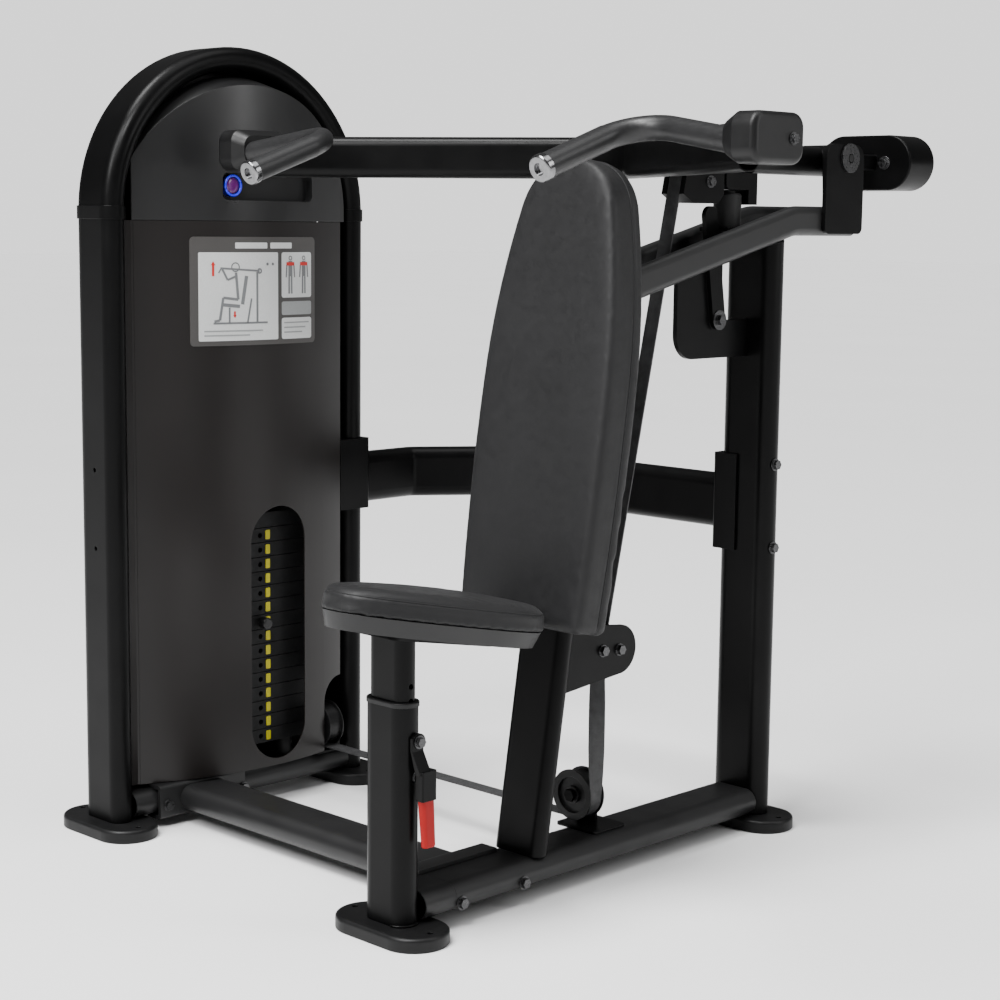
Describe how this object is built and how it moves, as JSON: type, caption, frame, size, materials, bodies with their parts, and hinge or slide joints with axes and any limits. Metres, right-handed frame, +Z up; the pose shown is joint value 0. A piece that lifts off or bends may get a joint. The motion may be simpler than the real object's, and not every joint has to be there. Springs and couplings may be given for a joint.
{
  "type": "shoulder press machine",
  "caption": "Seated shoulder press with an overhead pivoted press arm, a belt-driven weight stack in an arched tower, a leaning back pad and a seat that slides on its post.",
  "frame": {"origin": "on the floor under the middle of the rear upright", "axes": "+Z up; the user sits facing -Y, so the handles are at -Y; +X is the user's left and the weight tower stands at -X"},
  "size_m": [1.6369, 1.6111, 1.5988],
  "materials": {
    "frame_paint": "satin near-black powder coat",
    "panel_paint": "satin dark brown-grey sheet",
    "cap_plastic": "satin dark grey moulding",
    "foot_grey": "grey moulded foot",
    "pod_grey": "satin dark grey cover",
    "upholstery": "grained dark grey vinyl",
    "board": "black board",
    "plate_iron": "black painted",
    "label_yellow": "yellow label",
    "rod_steel": "polished",
    "bolt_steel": "zinc plated",
    "cap_aluminium": "polished",
    "belt_black": "matt belt",
    "rubber_black": "matt",
    "wheel_plastic": "black nylon",
    "bush_plastic": "black nylon",
    "grip_red": "red",
    "pin_plastic": "red knob",
    "placard_print": "printed sheet",
    "display_plastic": "dark with a blue ring",
    "grip_rubber": "satin"
  },
  "bodies": {
    "frame": {"feet": "foot_grey", "tower_arch_frame": "frame_paint", "tower_cross_tube": "frame_paint", "rod_crosshead": "frame_paint", "guide_rods": "rod_steel", "stack_buffers": "rubber_black", "weight_plates_resting": "plate_iron", "weight_labels_resting": "label_yellow", "lateral_base_tube": "frame_paint", "main_base_tube": "frame_paint", "front_base_stub": "frame_paint", "base_saddles": "frame_paint", "seat_post_outer": "frame_paint", "seat_post_bush": "bush_plastic", "back_post": "frame_paint", "back_pad_board": "board", "back_pad": "upholstery", "guide_brackets": "frame_paint", "pulley_stands": "frame_paint", "rear_upright": "frame_paint", "side_brace": "frame_paint", "brace_saddles": "frame_paint", "fork_tubes": "frame_paint", "pivot_plates": "frame_paint", "pivot_axle": "bolt_steel", "bumper_bracket": "frame_paint", "rest_bumper": "rubber_black", "front_panel": "panel_paint", "cap_panel": "cap_plastic", "counter_display": "display_plastic", "instruction_placard": "placard_print", "rear_cover": "panel_paint", "frame_bolts": "bolt_steel", "belt_upper_run": "belt_black", "belt_route": "belt_black", "belt_stack_run": "belt_black"},
    "press_arm": {"press_arm_tube": "frame_paint", "overhead_bar": "frame_paint", "bar_end_pods": "pod_grey", "grip_tubes": "bolt_steel", "grip_sleeves": "grip_rubber", "grip_end_caps": "cap_aluminium", "counterweight": "frame_paint", "arm_fittings": "frame_paint", "arm_bolts": "bolt_steel"},
    "lifted_stack": {"weight_plates_lifted": "plate_iron", "weight_labels_lifted": "label_yellow", "stack_head_plate": "plate_iron"},
    "selector": {"selector_pin": "pin_plastic"},
    "seat": {"seat_post_inner": "frame_paint", "seat_pan_shell": "board", "seat_cushion": "upholstery"},
    "lever": {"seat_lever": "bolt_steel", "seat_lever_grip": "grip_red"},
    "lock_pin": {"seat_lock_pin": "bolt_steel"},
    "roller_rear": {"guide_roller_rear": "wheel_plastic"},
    "roller_front": {"guide_roller_front": "wheel_plastic"},
    "pulley_low": {"lower_pulley": "wheel_plastic"},
    "pulley_tower": {"tower_lower_pulley": "wheel_plastic"},
    "pulley_top": {"tower_top_pulley": "wheel_plastic"}
  },
  "joints": [
    {"name": "arm_pivot", "type": "hinge", "parent": "frame", "child": "press_arm", "pos_m": [0, 0.203, 1.388], "axis": [-1, 0, 0], "range_deg": [0, 28], "deforming": ["belt_upper_run"]},
    {"name": "stack_lift", "type": "slide", "parent": "frame", "child": "lifted_stack", "axis": [0, 0, 1], "range_m": [0, 0.2282], "deforming": ["belt_stack_run"]},
    {"name": "selector_pull", "type": "slide", "parent": "lifted_stack", "child": "selector", "axis": [1, 0, 0], "range_m": [0, 0.065]},
    {"name": "seat_height", "type": "slide", "parent": "frame", "child": "seat", "axis": [0, 0, 1], "range_m": [-0.05, 0.13]},
    {"name": "lever_pivot", "type": "hinge", "parent": "frame", "child": "lever", "pos_m": [0.06, -0.997, 0.358], "axis": [-1, 0, 0], "range_deg": [0, 20]},
    {"name": "lock_pin_draw", "type": "slide", "parent": "frame", "child": "lock_pin", "axis": [1, 0, 0], "range_m": [0, 0.0035]},
    {"name": "rear_roller_spin", "type": "hinge", "parent": "frame", "child": "roller_rear", "pos_m": [0, -0.4391, 0.436], "axis": [-1, 0, 0], "range_deg": [0, 522.9]},
    {"name": "front_roller_spin", "type": "hinge", "parent": "frame", "child": "roller_front", "pos_m": [0, -0.4871, 0.44], "axis": [1, 0, 0], "range_deg": [0, 687.7]},
    {"name": "low_pulley_spin", "type": "hinge", "parent": "frame", "child": "pulley_low", "pos_m": [-0.045, -0.466, 0.141], "axis": [0, -1, 0], "range_deg": [0, 291]},
    {"name": "tower_pulley_spin", "type": "hinge", "parent": "frame", "child": "pulley_tower", "pos_m": [-0.813, -0.466, 0.141], "axis": [0, -1, 0], "range_deg": [0, 291]},
    {"name": "top_pulley_spin", "type": "hinge", "parent": "frame", "child": "pulley_top", "pos_m": [-0.858, -0.553, 1.385], "axis": [-1, 0, 0], "range_deg": [0, 151]}
  ],
  "couplings": [
    {"joint": "stack_lift", "follows": "arm_pivot", "m_per_rad": 0.466},
    {"joint": "rear_roller_spin", "follows": "arm_pivot", "ratio": 18.64},
    {"joint": "front_roller_spin", "follows": "arm_pivot", "ratio": 24.526},
    {"joint": "low_pulley_spin", "follows": "arm_pivot", "ratio": 10.356},
    {"joint": "tower_pulley_spin", "follows": "arm_pivot", "ratio": 10.356},
    {"joint": "top_pulley_spin", "follows": "arm_pivot", "ratio": 5.3563},
    {"joint": "lock_pin_draw", "follows": "lever_pivot", "m_per_rad": 0.01}
  ]
}
